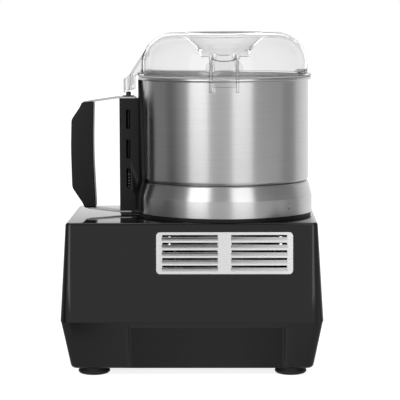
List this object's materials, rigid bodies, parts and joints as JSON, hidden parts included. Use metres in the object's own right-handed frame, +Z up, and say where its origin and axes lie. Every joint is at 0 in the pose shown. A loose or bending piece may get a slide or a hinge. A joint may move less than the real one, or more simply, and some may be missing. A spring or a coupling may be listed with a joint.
{
  "type": "cutter mixer",
  "caption": "Bench cutter mixer: motor base with vent grille and feet, steel bowl with strap handle and interlock rod, two-blade rotor, clear lid with feed funnel and interlock hook",
  "frame": {"origin": "on the bench, under the middle of the bounding box", "axes": "+Z up, -X the operator's side with handle and buttons, -Y the side with the front grille"},
  "size_m": [0.3086, 0.2288, 0.4019],
  "materials": {
    "base_gloss": "moulded, glossy black",
    "base_lower": "moulded, satin black",
    "foot_rubber": "moulded black rubber",
    "screw_steel": "zinc plated",
    "grille_metal": "satin pressed sheet",
    "bezel_plastic": "satin black",
    "start_green": "satin green",
    "stop_red": "satin red",
    "pulse_grey": "satin grey",
    "board_laminate": "green laminate",
    "capacitor_case": "light grey",
    "switch_black": "black",
    "gland_nylon": "black nylon",
    "lamination_steel": "stacked sheet steel",
    "winding_copper": "enamelled copper wire",
    "cast_aluminium": "as cast",
    "bearing_steel": "ground steel",
    "shaft_steel": "ground",
    "fan_nylon": "black nylon",
    "seat_aluminium": "turned",
    "seal_rubber": "black nitrile",
    "ring_nylon": "black nylon",
    "bowl_steel": "spun and brushed round",
    "handle_plastic": "satin black",
    "rod_acetal": "black acetal",
    "magnet_nickel": "nickel plated",
    "bush_nylon": "black nylon",
    "spring_steel": "drawn wire",
    "strap_steel": "satin strip",
    "hub_nylon": "satin black",
    "blade_steel": "ground and polished",
    "lid_seal_silicone": "translucent silicone",
    "lid_clear": "clear polycarbonate"
  },
  "bodies": {
    "base": {"upper_housing": "base_gloss", "lower_housing": "base_lower", "foot_front_left": "foot_rubber", "foot_front_right": "foot_rubber", "foot_back_left": "foot_rubber", "foot_back_right": "foot_rubber", "foot_screws": "screw_steel", "vent_grille_front": "grille_metal", "vent_grille_rear": "grille_metal", "control_bezel": "bezel_plastic", "control_board": "board_laminate", "run_capacitor": "capacitor_case", "capacitor_clip": "screw_steel", "reed_switch": "switch_black", "cable_gland": "gland_nylon", "motor_stator": "lamination_steel", "motor_windings": "winding_copper", "upper_end_bell": "cast_aluminium", "lower_end_bell": "cast_aluminium", "motor_tie_bolts": "screw_steel", "upper_bearing": "bearing_steel", "lower_bearing": "bearing_steel", "bowl_seat": "seat_aluminium", "bowl_seat_screws": "screw_steel", "shaft_seal": "seal_rubber"},
    "rotor": {"motor_shaft": "shaft_steel", "motor_rotor": "lamination_steel", "cooling_fan": "fan_nylon"},
    "blade": {"blade_hub": "hub_nylon", "lower_blade": "blade_steel", "upper_blade": "blade_steel", "blade_spacer": "hub_nylon", "blade_clamp": "hub_nylon"},
    "foot_ring": {"foot_ring": "ring_nylon"},
    "bowl": {"bowl_shell": "bowl_steel", "bowl_skirt": "bowl_steel", "bowl_studs": "screw_steel", "handle_column": "handle_plastic", "rod_bush": "bush_nylon", "interlock_spring": "spring_steel", "handle_strap": "strap_steel", "grip_palm_shell": "handle_plastic", "grip_finger_shell": "handle_plastic", "grip_screws": "screw_steel", "strap_screw": "screw_steel"},
    "rod": {"interlock_rod": "rod_acetal", "rod_magnet": "magnet_nickel"},
    "seal": {"lid_seal": "lid_seal_silicone"},
    "lid": {"lid": "lid_clear"},
    "start_button": {"start_button": "start_green"},
    "stop_button": {"stop_button": "stop_red"},
    "pulse_button": {"pulse_button": "pulse_grey"}
  },
  "joints": [
    {"name": "motor_spin", "type": "hinge", "parent": "base", "child": "rotor", "pos_m": [0.0386, 0, 0.115], "axis": [0, 0, 1], "continuous": true},
    {"name": "blade_lift", "type": "slide", "parent": "rotor", "child": "blade", "axis": [0, 0, 1], "range_m": [0, 0.1]},
    {"name": "bowl_lift", "type": "slide", "parent": "base", "child": "foot_ring", "axis": [0, 0, 1], "range_m": [0, 0.1]},
    {"name": "bowl_turn", "type": "hinge", "parent": "foot_ring", "child": "bowl", "pos_m": [0.0386, 0, 0.195], "axis": [0, 0, 1], "range_deg": [-30, 0]},
    {"name": "rod_slide", "type": "slide", "parent": "bowl", "child": "rod", "axis": [0, 0, 1], "range_m": [0, 0.005], "deforming": ["interlock_spring"]},
    {"name": "lid_lift", "type": "slide", "parent": "bowl", "child": "seal", "axis": [0, 0, 1], "range_m": [0, 0.035]},
    {"name": "lid_turn", "type": "hinge", "parent": "seal", "child": "lid", "pos_m": [0.0386, 0, 0.35], "axis": [0, 0, 1], "range_deg": [-30, 0]},
    {"name": "start_press", "type": "slide", "parent": "base", "child": "start_button", "axis": [0.9981, 0, -0.061], "range_m": [0, 0.0015], "stiffness_N_per_m": 400},
    {"name": "stop_press", "type": "slide", "parent": "base", "child": "stop_button", "axis": [0.9981, 0, -0.061], "range_m": [0, 0.0015], "stiffness_N_per_m": 400},
    {"name": "pulse_press", "type": "slide", "parent": "base", "child": "pulse_button", "axis": [0.9981, 0, -0.061], "range_m": [0, 0.0015], "stiffness_N_per_m": 400}
  ],
  "couplings": [
    {"joint": "blade_lift", "follows": "bowl_lift", "ratio": 1},
    {"joint": "rod_slide", "follows": "lid_turn", "m_per_rad": -0.0095493}
  ]
}
